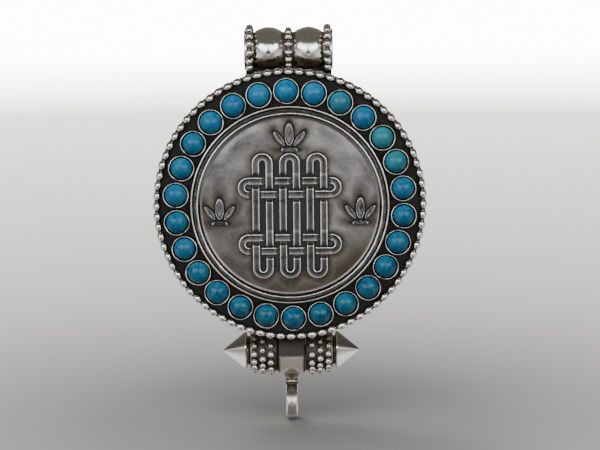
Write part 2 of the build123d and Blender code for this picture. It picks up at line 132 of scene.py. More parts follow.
def make_piece(name, verts, faces, material, **values):
    """A mesh object from points in metres. Each value holds one number, or one colour, for each point."""
    mesh = bpy.data.meshes.new(name)
    mesh.from_pydata([tuple(v) for v in verts], [], outward(verts, faces))
    for key, numbers in values.items():
        numbers = np.asarray(numbers, float)
        if numbers.ndim == 1:
            mesh.attributes.new(key, "FLOAT", "POINT").data.foreach_set("value", numbers.astype(np.float32))
        else:
            rgba = np.ones((len(numbers), 4), np.float32)
            rgba[:, :3] = numbers
            mesh.attributes.new(key, "FLOAT_COLOR", "POINT").data.foreach_set("color", rgba.ravel())
    mesh.materials.append(material)
    mesh.polygons.foreach_set("use_smooth", [True] * len(mesh.polygons))
    mesh.update()
    return new_object(name, mesh)


def place(piece, body, node=None):
    """Gives a piece its body, and hides the CAD node whose place it takes."""
    if node:
        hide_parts(node)
    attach(piece, body)


class Parts:
    """Gathers several closed shells into one set of points and faces."""

    def __init__(self):
        self.verts, self.faces, self.values = [], [], {}
        self.count = 0

    def add(self, verts, faces, **values):
        self.verts.append(verts)
        self.faces += [tuple(i + self.count for i in face) for face in outward(verts, faces)]
        self.count += len(verts)
        for key, value in values.items():
            value = np.asarray(value, float)
            if value.ndim == 0 or len(value) != len(verts):
                value = np.broadcast_to(value, (len(verts),) + value.shape)
            self.values.setdefault(key, []).append(value)

    def piece(self, name, material):
        values = {key: np.concatenate(lists) for key, lists in self.values.items()}
        return make_piece(name, np.concatenate(self.verts), self.faces, material, **values)


def grid_faces(rows, columns, wrap_rows=False, wrap_columns=True):
    """Quads over a grid of points stored row by row."""
    faces = []
    for i in range(rows if wrap_rows else rows - 1):
        row, above = i * columns, (i + 1) % rows * columns
        for j in range(columns if wrap_columns else columns - 1):
            k = (j + 1) % columns
            faces.append((row + j, row + k, above + k, above + j))
    return faces


def lathe(profile, segments, closed=False):
    """A profile of (radius, height) turned about +Z: a closed ring, or one that starts on the axis."""
    turns = np.linspace(0, tau, segments, endpoint=False)
    profile = np.asarray(profile, float)
    x, y = profile[:, :1] * np.cos(turns), profile[:, :1] * np.sin(turns)
    verts = np.stack([x, y, np.repeat(profile[:, 1:], segments, axis=1)], axis=-1).reshape(-1, 3)
    if closed:
        return verts, grid_faces(len(profile), segments, wrap_rows=True)
    return close_ends(verts, len(profile), segments, profile[-1, 0] < 1e-9)


def fan(verts, faces, start, segments, last):
    """Replaces an end row that lies on the axis with one point and triangles to it."""
    row = start - segments if last else start + segments
    for j in range(segments):
        a, b = row + j, row + (j + 1) % segments
        faces.append((a, b, start) if last else (b, a, start))
    keep = np.ones(len(verts), bool)
    keep[start + 1 : start + segments] = False
    renumber = np.cumsum(keep) - 1
    return verts[keep], [tuple(int(renumber[i]) for i in face) for face in faces]


def close_ends(verts, rows, segments, last=True):
    """The points and faces of a tube stored row by row, whose first and last rows are single points."""
    faces = grid_faces(rows, segments)[segments:]
    if last:
        verts, faces = fan(verts, faces[:-segments], (rows - 1) * segments, segments, True)
    return fan(verts, faces, 0, segments, False)


def two_skins(upper, lower, rows, columns):
    """A closed shell from two grids of points stored row by row, joined along their edges."""
    count = rows * columns
    skin = grid_faces(rows, columns, wrap_columns=False)
    border = list(range(columns)) + [k * columns + columns - 1 for k in range(1, rows)]
    border += [(rows - 1) * columns + j for j in range(columns - 2, -1, -1)]
    border += [k * columns for k in range(rows - 2, 0, -1)]
    faces = skin + [tuple(i + count for i in face[::-1]) for face in skin]
    faces += [(b, a, a + count, b + count) for a, b in zip(border, border[1:] + border[:1])]
    return np.array(upper + lower), faces


def peak(value, at, reach):
    """1 at a value, falling to 0 at reach from it."""
    return np.clip(1 - np.abs(value - at) / reach, 0, 1)


def smooth_profile(points, steps):
    """A Catmull-Rom curve through the points of a profile, as a list."""
    points = np.asarray(points, float)
    ends = np.concatenate([[2 * points[0] - points[1]], points, [2 * points[-1] - points[-2]]])
    t = np.linspace(0, 1, steps, endpoint=False)[:, None]
    curve = [
        0.5 * (2 * b + (c - a) * t + (2 * a - 5 * b + 4 * c - d) * t**2 + (3 * b - a - 3 * c + d) * t**3)
        for a, b, c, d in zip(ends[:-3], ends[1:-2], ends[2:-1], ends[3:])
    ]
    return np.concatenate(curve + [points[-1:]]).tolist()


def front(points, x=0.0, z=0.0):
    """Puts local (across, up, out) millimetres on the front plate, at (x, z) from the case's axis."""
    across, up, out = np.asarray(points, float).T * MM
    return np.stack([across + x * MM, PLATE_Y - out, CASE_Z + up + z * MM], axis=-1)


def about_x(points, centre):
    """Puts a lathe's millimetres, turned about local Z, about an axis along +X at centre."""
    return np.asarray(points, float)[:, [2, 0, 1]] * MM + np.array(centre)


def rows_about_bar(rows, around):
    """Points in millimetres from the clasp bar's middle, from rows of (radius, place along the bar)."""
    turns = np.linspace(0, tau, around, endpoint=False)
    rings = [(x + 0 * turns, r * np.sin(turns), r * np.cos(turns)) for r, x in rows]
    return np.concatenate([np.stack(ring, axis=-1) for ring in rings])


def ball(segments=16):
    """A unit sphere."""
    slopes = np.linspace(-pi / 2, pi / 2, 9)
    profile = np.stack([np.cos(slopes), np.sin(slopes)], axis=-1)
    profile[[0, -1], 0] = 0.0
    return lathe(profile, segments)


# ---- material helpers ----


class Nodes:
    """Builds a node tree with short calls. An input takes a value or another node's output."""

    def __init__(self, name):
        self.material = bpy.data.materials.new(name)
        self.material.use_nodes = True
        self.tree = self.material.node_tree
        self.tree.nodes.clear()
        self.shader = self.node("BsdfPrincipled")
        self.node("OutputMaterial", {0: self.shader.outputs[0]})
        self.place = self.node("TexCoord").outputs["Object"]

    def node(self, kind, inputs=None, **settings):
        made = self.tree.nodes.new("ShaderNode" + kind)
        for key, value in settings.items():
            setattr(made, key, value)
        for key, value in (inputs or {}).items():
            self.put(value, made.inputs[key])
        return made

    def put(self, value, socket):
        if isinstance(value, bpy.types.NodeSocket):
            self.tree.links.new(value, socket)
        else:
            socket.default_value = value

    def noise(self, size, detail=3.0, roughness=0.55, stretch=(1, 1, 1), distortion=0.0):
        """Noise whose blobs are about size metres across."""
        vector = self.node("Mapping", {"Vector": self.place, "Scale": stretch}).outputs[0]
        inputs = {"Vector": vector, "Scale": 1 / size, "Detail": detail, "Roughness": roughness}
        return self.node("TexNoise", {**inputs, "Distortion": distortion}).outputs["Fac"]

    def ramp(self, value, low, high, out_low=0.0, out_high=1.0):
        inputs = {"Value": value, "From Min": low, "From Max": high, "To Min": out_low, "To Max": out_high}
        return self.node("MapRange", inputs, clamp=True).outputs[0]

    def math(self, operation, value, *others):
        """The operation on one value, or on several from left to right."""
        for other in others or (0.0,):
            value = self.node("Math", {0: value, 1: other}, operation=operation).outputs[0]
        return value

    def plus(self, *values):
        return self.math("ADD", *values)

    def minus(self, *values):
        return self.math("SUBTRACT", *values)

    def times(self, *values):
        return self.math("MULTIPLY", *values)

    def most(self, *values):
        return self.math("MAXIMUM", *values)

    def split(self, vector):
        """x, y and z of a vector."""
        return self.node("SeparateXYZ", {0: vector}).outputs

    def mix(self, factor, *colours):
        a, b = (c if isinstance(c, bpy.types.NodeSocket) else (*c, 1.0) for c in colours)
        return self.node("Mix", {"Factor": factor, 6: a, 7: b}, data_type="RGBA").outputs[2]

    def attribute(self, name, colour=False):
        return self.node("Attribute", attribute_name=name).outputs["Color" if colour else "Fac"]

    def crevice(self, reach, low, high):
        """1 deep in a crevice, 0 in the open."""
        made = self.node("AmbientOcclusion", {"Distance": reach}, samples=8)
        return self.ramp(made.outputs["AO"], low, high, 1.0, 0.0)

    def bump(self, *layers):
        """Layers of (height, strength, distance), the last on top."""
        below = {}
        for height, strength, distance in layers:
            inputs = {"Height": height, "Strength": strength, "Distance": distance}
            below = {"Normal": self.node("Bump", {**inputs, **below}).outputs[0]}
        self.set(**below)

    def set(self, **inputs):
        """Sets the shader's inputs, with _ for each space in their names."""
        for key, value in inputs.items():
            self.put(value, self.shader.inputs[key.replace("_", " ")])


BRIGHT = (0.80, 0.785, 0.755)
BROWN = (0.20, 0.165, 0.125)
BLACK = (0.010, 0.009, 0.008)


def silver(
    name, bright=BRIGHT, dull=BROWN, tarnish=0.35, reach=0.7, crevice=(0.35, 0.8), roughness=0.2, dents=0.25
):
    """Old silver: bright where it is rubbed, brown in the hollows and black in the crevices, and darkened
    further per point by real tarnish and by painted shade.
    """
    n = Nodes(name)
    # this per-point attribute holds real tarnish and, on many pieces, painted shade and painted shadow
    stain = n.attribute("stain")
    cloud = n.noise(2.4 * MM, 4.0, 0.6)
    speck = n.noise(0.35 * MM, 3.0, 0.6)
    ragged = n.plus(n.crevice(reach * MM, *crevice), n.ramp(speck, 0.35, 0.7, -0.18, 0.18))
    black = n.most(n.ramp(ragged, 0.45, 0.8), n.ramp(stain, 0.75, 1.0))
    brown = n.most(n.ramp(ragged, 0.05, 0.5), n.ramp(stain, 0.0, 0.7), n.ramp(cloud, 0.45, 0.75, 0, tarnish))
    toned = n.mix(n.attribute("worn"), n.mix(brown, bright, dull), (0.93, 0.92, 0.89))
    polish = n.ramp(cloud, 0.3, 0.7, roughness * 0.75, roughness * 1.3)
    n.set(
        Base_Color=n.mix(black, toned, BLACK),
        Metallic=n.ramp(black, 0.0, 1.0, 1.0, 0.25),
        Roughness=n.plus(polish, n.times(brown, 0.16), n.times(black, 0.25)),
    )
    n.bump(
        (n.noise(1.3 * MM, 2.0), dents, 0.05 * MM),
        (n.noise(0.10 * MM, 2.0, 0.5, stretch=(1.0, 1.0, 0.12)), 0.10, 0.008 * MM),
        (n.noise(0.12 * MM, 2.0, 0.5, stretch=(0.15, 1.0, 1.0)), 0.08, 0.008 * MM),
    )
    return n.material


def blackened_shell():
    """The case: black on the front plate, rubbed on its edge and on the wall, dull inside."""
    n = Nodes("shell_silver")
    facing = n.split(n.node("TexCoord").outputs["Normal"])
    on_face = n.ramp(facing["Y"], -0.95, -0.85, 1.0, 0.0)
    ahead = n.ramp(n.split(n.place)["Y"], PLATE_Y + 0.03 * MM, PLATE_Y + 0.06 * MM, 1.0, 0.0)
    cloud = n.noise(3.0 * MM, 4.0, 0.6)
    grime = n.noise(0.5 * MM, 3.0, 0.6)
    hollow = n.crevice(1.2 * MM, 0.3, 0.85)
    brown = n.most(n.ramp(cloud, 0.42, 0.72, 0.0, 0.5), n.ramp(hollow, 0.1, 0.7))
    black = n.most(n.times(on_face, ahead), n.ramp(hollow, 0.6, 1.0))
    sooty = n.mix(n.ramp(grime, 0.4, 0.7), (0.004, 0.0036, 0.0034), (0.017, 0.014, 0.011))
    n.set(
        Base_Color=n.mix(black, n.mix(brown, BRIGHT, BROWN), sooty),
        Metallic=n.minus(1.0, black),
        Roughness=n.plus(n.ramp(cloud, 0.3, 0.7, 0.2, 0.34), n.times(black, 0.3)),
        Specular_IOR_Level=0.2,
    )
    brushed = n.noise(0.12 * MM, 2.0, 0.5, stretch=(1.0, 0.1, 1.0))
    n.bump((n.noise(2.5 * MM, 2.0), 0.2, 0.08 * MM), (grime, 0.25, 0.02 * MM), (brushed, 0.12, 0.01 * MM))
    return n.material


def turquoise():
    """Polished turquoise, a blue set for each stone and darkened on the lower stones with painted shade, with
    faint brown matrix.
    """
    n = Nodes("turquoise_stone")
    warp_scale, warp, crack_scale = 900.0, 0.9 * MM, 420.0
    cloud = n.noise(1.1 * MM, 4.0, 0.6, distortion=0.6)
    # each stone's blue, with painted shade mixed in
    stone_blue_and_shade = n.attribute("stone_colour", colour=True)
    mottled = n.mix(n.ramp(cloud, 0.35, 0.7, 0.0, 0.55), stone_blue_and_shade, (0.035, 0.36, 0.44))
    pale = n.mix(n.ramp(n.noise(0.5 * MM, 3.0, 0.6), 0.55, 0.8, 0.0, 0.35), mottled, (0.16, 0.50, 0.56))
    shift = n.node("TexNoise", {"Vector": n.place, "Scale": warp_scale}).outputs["Color"]
    scaled = n.node("VectorMath", {0: shift, "Scale": warp}, operation="SCALE").outputs[0]
    warped = n.node("VectorMath", {0: n.place, 1: scaled}, operation="ADD").outputs[0]
    cracks = n.node("TexVoronoi", {"Vector": warped, "Scale": crack_scale}, feature="DISTANCE_TO_EDGE")
    vein = n.times(n.ramp(cracks.outputs["Distance"], 0.0, 0.035, 1.0, 0.0), n.ramp(cloud, 0.52, 0.68))
    n.set(
        Base_Color=n.mix(n.times(vein, 0.75), pale, (0.075, 0.06, 0.035)),
        Roughness=n.ramp(cloud, 0.3, 0.7, 0.24, 0.34),
        Specular_IOR_Level=0.22,
        Coat_Weight=0.12,
        Coat_Roughness=0.05,
    )
    n.bump((n.noise(0.3 * MM, 2.0), 0.12, 0.01 * MM), (vein, 0.15, -0.01 * MM))
    return n.material


def paper():
    """Handmade paper, mottled and fibrous."""
    n = Nodes("prayer_paper")
    fibre = n.noise(0.35 * MM, 5.0, 0.65, stretch=(0.25, 1, 1))
    cloud = n.noise(4.0 * MM, 4.0, 0.6)
    toned = n.mix(n.ramp(cloud, 0.35, 0.7), (0.56, 0.45, 0.29), (0.70, 0.60, 0.42))
    n.set(
        Base_Color=n.mix(n.ramp(fibre, 0.55, 0.75, 0.0, 0.6), toned, (0.34, 0.24, 0.13)),
        Roughness=n.ramp(fibre, 0.3, 0.7, 0.8, 0.95),
    )
    n.bump((cloud, 0.4, 0.15 * MM), (fibre, 0.5, 0.03 * MM))
    return n.material


def thread():
    """Red cotton."""
    n = Nodes("tie_thread")
    fibre = n.noise(0.12 * MM, 3.0, 0.6)
    n.set(
        Base_Color=n.mix(n.ramp(fibre, 0.35, 0.7), (0.30, 0.018, 0.016), (0.50, 0.05, 0.04)),
        Roughness=n.ramp(fibre, 0.3, 0.7, 0.75, 0.92),
        Sheen_Weight=0.3,
    )
    n.bump((fibre, 0.5, 0.02 * MM))
    return n.material


SILVER = silver("box_silver")
BEAD_SILVER = silver(
    "bead_silver", (0.72, 0.705, 0.675), tarnish=0.2, reach=0.55, crevice=(0.3, 0.75), roughness=0.11
)
CUP_SILVER = silver(
    "cup_silver", (0.60, 0.58, 0.54), (0.16, 0.13, 0.10), 0.3, 0.5, crevice=(0.3, 0.7), roughness=0.22
)
FIELD_SILVER = silver(
    "medallion_silver", (0.35, 0.337, 0.326), (0.060, 0.049, 0.038), 0.3, 1.0, crevice=(0.35, 0.85), dents=0.3
)
RELIEF_SILVER = silver(
    "relief_silver", (0.105, 0.101, 0.098), (0.08, 0.068, 0.055), 0.3, 0.5, crevice=(0.3, 0.7), roughness=0.24
)
# a darker copy of silver for the bail pads and barrel feet, which lie in shade: painted shade
SHADED_SILVER = silver(
    "shaded_silver", (0.15, 0.142, 0.13), (0.05, 0.043, 0.035), 0.6, 1.5, crevice=(0.4, 0.9), roughness=0.3
)
COVER_SILVER = silver(
    "cover_silver", (0.66, 0.645, 0.615), (0.22, 0.19, 0.155), reach=0.5, roughness=0.24, dents=0.3
)
POLISHED = silver("polished_silver", tarnish=0.08, reach=0.4, crevice=(0.3, 0.7), roughness=0.14, dents=0.12)
SHELL_SILVER = blackened_shell()
TURQUOISE = turquoise()
PAPER = paper()
THREAD = thread()


# ---- beaded wires ----


def bead_wire(name, node, centre, normal, ring_r, bead_r, wire_r, count):
    """Beads soldered in a ring: each a little out of round and out of line, on a thin core wire."""
    parts = Parts()
    unit, faces = ball()
    centre, normal, start = np.array(centre), np.array(normal), np.array([0.0, 0.0, 1.0])
    aside = np.cross(normal, start)
    gap = tau * ring_r / count
    stain = np.clip(np.abs(unit[:, 1]) * 6.0 - 5.0, 0, 1)
    for turn in np.linspace(0, tau, count, endpoint=False):
        out = start * cos(turn) + aside * sin(turn)
        along = np.cross(normal, out)
        r = bead_r * RANDOM.uniform(0.95, 1.02)
        size = np.array([r, 0.49 * gap * RANDOM.uniform(0.94, 1.02), r * RANDOM.uniform(0.95, 1.0)])
        at = out * (ring_r + RANDOM.uniform(-0.03, 0.02)) + along * RANDOM.uniform(-0.03, 0.03)
        verts = (unit * size) @ np.array([out, along, normal]) + at
        parts.add(verts * MM + centre, faces, stain=stain)
    wire_turns, sides = 3 * count, 8
    a = np.linspace(0, tau, sides, endpoint=False)[:, None]
    wire = []
    for turn in np.linspace(0, tau, wire_turns, endpoint=False):
        out = start * cos(turn) + aside * sin(turn)
        wire.append(out * (ring_r + wire_r * np.cos(a)) + normal * (wire_r * np.sin(a)))
    parts.add(np.concatenate(wire) * MM + centre, grid_faces(wire_turns, sides, wrap_rows=True), stain=0.97)
    place(parts.piece(name, BEAD_SILVER), "case", node)


rim_centre = (0, PLATE_Y - 0.35 * MM, CASE_Z)
bead_wire("rim_beads", "rim_bead_wire", rim_centre, (0, -1, 0), RIM_WIRE_R, 0.57, 0.26, RIM_BEADS)
for side, *sizes in (("left", 2.95, 0.61, 0.33), ("right", 2.95, 0.61, 0.33), ("middle", 2.6, 0.59, 0.31)):
    wire_node = f"bail_{side}_bead_wire"
    bead_wire(f"bail_beads_{side}", wire_node, middle(wire_node), (1, 0, 0), *sizes, BAIL_BEADS)


# ---- cups and stones ----


def stone_places():
    """(x, z) of each stone about the case's axis, in millimetres."""
    for i in range(STONES):
        turn = radians(STONE_START + 360 * i / STONES)
        yield STONE_RING_R * cos(turn), STONE_RING_R * sin(turn)


def make_cups():
    """Thin-walled cups with wavy rims, bright on the rim and black inside with painted shadow, the rims lower
    in the ring a little darker with painted shade.
    """
    profile = [(0.0, 0.0), (1.86, 0.0), (1.85, 0.5), (1.85, 0.95), (1.83, 1.12), (1.78, CUP_HEIGHT)]
    profile += [(1.71, 1.21), (1.655, 1.14), (1.63, 1.0), (1.62, 0.6), (1.62, 0.26), (0.0, CUP_FLOOR)]
    parts = Parts()
    for x, z in stone_places():
        verts, faces = lathe(profile, 48)
        turn = np.arctan2(verts[:, 1], verts[:, 0])
        phase = [RANDOM.uniform(0, tau) for _ in range(3)]
        wave = sum(np.sin((k + 2) * turn + p) for k, p in enumerate(phase))
        high = np.clip(verts[:, 2] / CUP_HEIGHT, 0, 1)
        verts[:, 2] += 0.022 * wave * high
        verts[:, :2] *= (1 + 0.006 * wave * high)[:, None]
        radius = np.hypot(verts[:, 0], verts[:, 1])
        # painted shade: rims lower in the ring are a little darker
        rim = np.clip(0.14 + 0.12 * wave - 0.1 * z / STONE_RING_R, 0, 0.45)
        stain = np.where(verts[:, 2] > 1.04, rim, 0.95)
        # painted shadow: the inside, seen in the gap round the stone, is black
        stain = np.where((radius < 1.69) & (verts[:, 2] < 1.17), 1.0, stain)
        parts.add(front(verts, x, z), faces, stain=stain)
    place(parts.piece("cups", CUP_SILVER), "case", "stone_cups")


STONE_BLUES = ((0.012, 0.175, 0.37), (0.015, 0.205, 0.38), (0.009, 0.14, 0.33), (0.018, 0.215, 0.42))
GREEN_STONES = {2: (0.045, 0.30, 0.33), 1: (0.040, 0.27, 0.33), 4: (0.028, 0.19, 0.25)}


def make_stones():
    """Domed stones of uneven height, lean, width and colour. Those lower down are a little darker with
    painted shade.
    """
    rise = STONE_TOP - STONE_GIRDLE
    slopes = np.linspace(0, pi / 2, 12)[:-1]
    profile = [(0.0, CUP_FLOOR), (STONE_R * 0.97, CUP_FLOOR), (STONE_R, 0.4)]
    profile += [(STONE_R * cos(t) ** 0.92, STONE_GIRDLE + rise * sin(t) ** 1.08) for t in slopes]
    profile.append((0.0, STONE_TOP))
    parts = Parts()
    for i, (x, z) in enumerate(stone_places()):
        verts, faces = lathe(profile, 40)
        verts[:, :2] *= RANDOM.uniform(1.0, 1.04)
        verts[:, 2] = CUP_FLOOR + 0.01 + (verts[:, 2] - CUP_FLOOR) * RANDOM.uniform(0.94, 1.0)
        lean = Euler((RANDOM.uniform(-0.05, 0.05), RANDOM.uniform(-0.05, 0.05), 0)).to_matrix()
        pivot = np.array([0, 0, 0.9])
        verts = (verts - pivot) @ np.array(lean).T + pivot
        colour = np.array(GREEN_STONES.get(i) or RANDOM.choice(STONE_BLUES)) * RANDOM.uniform(0.88, 1.1)
        # painted shade: stones lower in the ring, and a little those to the left, are darker
        light = 0.855 + (0.285 * z + 0.04 * x) / STONE_RING_R
        colour = colour * np.array([0.66, 0.84, 1.02]) * light
        parts.add(front(verts, x, z), faces, stone_colour=colour)
    place(parts.piece("stones", TURQUOISE), "case", "turquoise_cabochons")


make_cups()
make_stones()


# ---- medallion ----


# the middles of the knot's loops, and of their strands
COLUMNS = [(i - (UPRIGHT_LOOPS - 1) / 2) * 2 * STRAND_PITCH for i in range(UPRIGHT_LOOPS)]
ROWS = [KNOT_Z - LEVEL_RISE, KNOT_Z + LEVEL_RISE]
STRANDS_X = [x + side * STRAND_PITCH / 2 for x in COLUMNS for side in (-1, 1)]
STRANDS_Z = [z + side * STRAND_PITCH / 2 for z in ROWS for side in (-1, 1)]
LEVEL_RUN = COLUMNS[-1] - COLUMNS[0] + STRAND_PITCH + STRAND + 2 * LOOP_OVERHANG


def stadium(run, radius, step=0.12):
    """Points of a closed path round a slot: two straights of length run and two half circles."""
    straight, bend = int(run / step), int(pi * radius / step)
    half = [(-run / 2 + run * i / straight, -radius) for i in range(straight)]
    half += [(run / 2 + radius * sin(pi * i / bend), -radius * cos(pi * i / bend)) for i in range(bend)]
    return np.concatenate([np.array(half), -np.array(half)])


def crossing_height(along, stops, index, first_over):
    """How far a strand rises or dips near each crossing: over at every other one."""
    offset = np.zeros(len(along))
    for j, stop in enumerate(stops):
        near = peak(along, stop, 1.15)
        bump = np.clip(near * 2.2, 0, 1)
        over = ((index + j) % 2 == 0) == first_over
        offset = np.where(near > 0, (0.03 if over else -0.30) * bump * bump * (3 - 2 * bump), offset)
    return offset


def strand_ribbon(path, tops):
    """A flat-topped strand along a closed path, its edges rubbed bright, its foot in the field; painted
    shadow blackens its foot and sides, and painted shade darkens it where it dips under a crossing.
    """
    ahead = np.roll(path, -1, axis=0) - np.roll(path, 1, axis=0)
    ahead /= np.linalg.norm(ahead, axis=1)[:, None]
    side = np.stack([-ahead[:, 1], ahead[:, 0]], axis=-1)
    half = STRAND / 2
    # each row: distance across, drop below the top (None for the foot), wear, and darkening; the foot and
    # side wall carry painted shadow
    edge = [(half + 0.03, None, 0.0, 1.0), (half, -0.22, 0.0, 0.95), (half - 0.02, -0.09, 0.75, 0.0),
            (half - 0.07, -0.02, 1.0, 0.0), (half - 0.13, 0.0, 0.75, 0.0), (half - 0.17, -0.005, 0.0, 0.05),
            (0.2, -0.025, 0.0, 0.05)]
    section = [(-u, h, w, t) for u, h, w, t in edge] + edge[::-1]
    rows = []
    for across, drop, _, _ in section:
        height = np.full(len(path), -0.1) if drop is None else tops + drop
        flat = path + side * across
        rows.append(np.stack([flat[:, 0], flat[:, 1], height], axis=-1))
    verts = np.stack(rows, axis=1).reshape(-1, 3)
    # painted shade where a strand dips under a crossing
    dip = np.clip(-np.repeat(tops - RELIEF_TOP, len(section)) / 0.3, 0, 1)
    worn = np.tile([w for _, _, w, _ in section], len(path)) * (1 - dip)
    stain = np.maximum(np.tile([t for _, _, _, t in section], len(path)), 0.9 * dip)
    return verts, grid_faces(len(path), len(section), wrap_rows=True), worn, stain


def make_knot():
    """Three upright loops woven through two level ones."""
    parts = Parts()
    upright = stadium(UPRIGHT_RUN, STRAND_PITCH / 2)[:, ::-1] * np.array([-1, 1])
    level = stadium(LEVEL_RUN, STRAND_PITCH / 2)
    loops = [(upright, np.array([x, KNOT_Z]), 0, STRANDS_Z, i, True) for i, x in enumerate(COLUMNS)]
    loops += [(level, np.array([0, z]), 1, STRANDS_X, i, False) for i, z in enumerate(ROWS)]
    for path, centre, across, stops, i, first_over in loops:
        path = path + centre
        rises = [crossing_height(path[:, 1 - across], stops, k, first_over) for k in (2 * i, 2 * i + 1)]
        tops = np.where(path[:, across] < centre[across], *rises)
        verts, faces, worn, stain = strand_ribbon(path, RELIEF_TOP + tops)
        verts[:, 2] += FIELD_HEIGHT
        parts.add(front(verts), faces, worn=worn, stain=stain)
    place(parts.piece("knot_relief", RELIEF_SILVER), "case")


def bud_leaves():
    """(x, z, half width, half height, turn, whether it is a leaf) of every leaf and bar of the buds."""
    leaves = []
    for x, z, size in BUDS:
        leaves.append((x, z + 1.15 * size, 0.62 * size, 1.5 * size, 0.0, True))
        for side in (-1, 1):
            turn = radians(-side * 36)
            leaves.append((x + side * 1.25 * size, z + 0.62 * size, 0.42 * size, 1.15 * size, turn, True))
        leaves.append((x, z - 0.75 * size, 1.1 * size, 0.275 * size, 0.0, False))
    return leaves


def make_buds():
    """Leaves with a creased middle, and the bars under them, rubbed bright along their edges and darkened
    towards their foot with painted shadow.
    """
    parts = Parts()
    steps = ((0.0, 0.97), (0.45, 0.97), (0.66, 0.98), (0.78, 0.97), (0.87, 0.86), (0.95, 0.6), (1.0, 0.2),
             (1.04, -0.2), (0.0, -0.2))  # share of the outline, share of the relief's height
    around = 40
    turns = np.linspace(0, tau, around, endpoint=False)
    c, s = np.cos(turns), np.sin(turns)
    for x, z, wide, tall, turn, leaf in bud_leaves():
        if leaf:
            outline_u, outline_v = c * (1 - 0.22 * np.clip(s, 0, None) ** 2), s
        else:
            outline_u, outline_v = np.sign(c) * np.sqrt(np.abs(c)), np.sign(s) * np.sqrt(np.abs(s))
        rows = []
        for rho, height in steps:
            u, v = wide * rho * outline_u, tall * rho * outline_v
            crease = 0.06 * np.clip(1 - np.abs(u) / 0.16, 0, None) * leaf
            up = FIELD_HEIGHT + RELIEF_TOP * height - crease * (1 - rho)
            across, rise = u * cos(turn) - v * sin(turn), u * sin(turn) + v * cos(turn)
            rows.append(np.stack([x + across, z + rise, up, height + 0 * u], axis=-1))
        verts, faces = close_ends(np.concatenate(rows), len(steps), around)
        verts, level = verts[:, :3], verts[:, 3]
        worn = peak(level, 0.86, 0.09)
        # painted shadow: the lower steps of each leaf and bar darken towards the foot
        parts.add(front(verts), faces, worn=worn, stain=np.clip((0.65 - level) * 3, 0.05, 0.95))
    place(parts.piece("bud_relief", RELIEF_SILVER), "case")


def relief_distance(x, z):
    """Distance in millimetres from each point to the nearest edge of the relief."""
    best = np.full(x.shape, 99.0)
    loops = [(z - KNOT_Z, x - column, UPRIGHT_RUN) for column in COLUMNS]
    loops += [(x, z - row, LEVEL_RUN) for row in ROWS]
    for u, v, run in loops:
        along = np.clip(np.abs(u) - run / 2, 0, None)
        best = np.minimum(best, np.abs(np.hypot(along, v) - STRAND_PITCH / 2) - STRAND / 2)
    for cx, cz, wide, tall, turn, _ in bud_leaves():
        u = (x - cx) * cos(turn) + (z - cz) * sin(turn)
        v = -(x - cx) * sin(turn) + (z - cz) * cos(turn)
        best = np.minimum(best, (np.hypot(u / wide, v / tall) - 1) * min(wide, tall))
    return best


def value_noise(x, z, size, seed):
    """Smooth noise from -1 to 1 with blobs of that size."""
    table = np.random.RandomState(seed).uniform(-1, 1, (64, 64))
    gx, gz = x / size + 32, z / size + 32
    ix, iz = np.floor(gx).astype(int), np.floor(gz).astype(int)
    fx, fz = gx - ix, gz - iz
    fx, fz = fx * fx * (3 - 2 * fx), fz * fz * (3 - 2 * fz)
    left, right, near, far = ix % 64, (ix + 1) % 64, iz % 64, (iz + 1) % 64
    low = table[left, near] * (1 - fx) + table[right, near] * fx
    high = table[left, far] * (1 - fx) + table[right, far] * fx
    return low * (1 - fz) + high * fz


